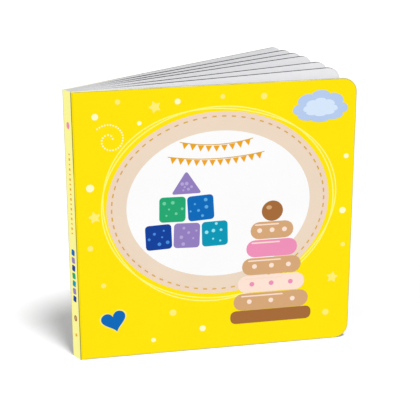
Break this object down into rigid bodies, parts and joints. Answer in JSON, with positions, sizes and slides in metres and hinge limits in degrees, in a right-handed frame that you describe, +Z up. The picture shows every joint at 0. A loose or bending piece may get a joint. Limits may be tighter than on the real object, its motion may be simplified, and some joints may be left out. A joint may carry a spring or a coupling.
{
  "type": "board book",
  "caption": "Square board book of thick leaves with rounded corners, standing on its lower edge and fanned open; both covers swing on the spine.",
  "frame": {"origin": "middle of the book's footprint, on the surface that it stands on", "axes": "+X along the front cover from the spine to its fore-edge, +Y from the front cover towards the back cover, +Z up from the lower edge to the upper edge"},
  "size_m": [0.1688, 0.0858, 0.165],
  "materials": {
    "cover_card": "printed card with a satin film",
    "spine_card": "printed card with a satin film",
    "page_card": "white coated card with bare cut edges"
  },
  "bodies": {
    "book_block": {"page_block": "page_card", "spine": "spine_card"},
    "front_board": {"front_cover": "cover_card"},
    "back_board": {"back_cover": "cover_card"}
  },
  "joints": [
    {"name": "front_crease", "type": "hinge", "parent": "book_block", "child": "front_board", "pos_m": [-0.08041, -0.04265, 0], "axis": [0, 0, 1], "range_deg": [-150, 7]},
    {"name": "back_crease", "type": "hinge", "parent": "book_block", "child": "back_board", "pos_m": [-0.08413, -0.03566, 0], "axis": [0, 0, 1], "range_deg": [-2.5, 150]}
  ]
}
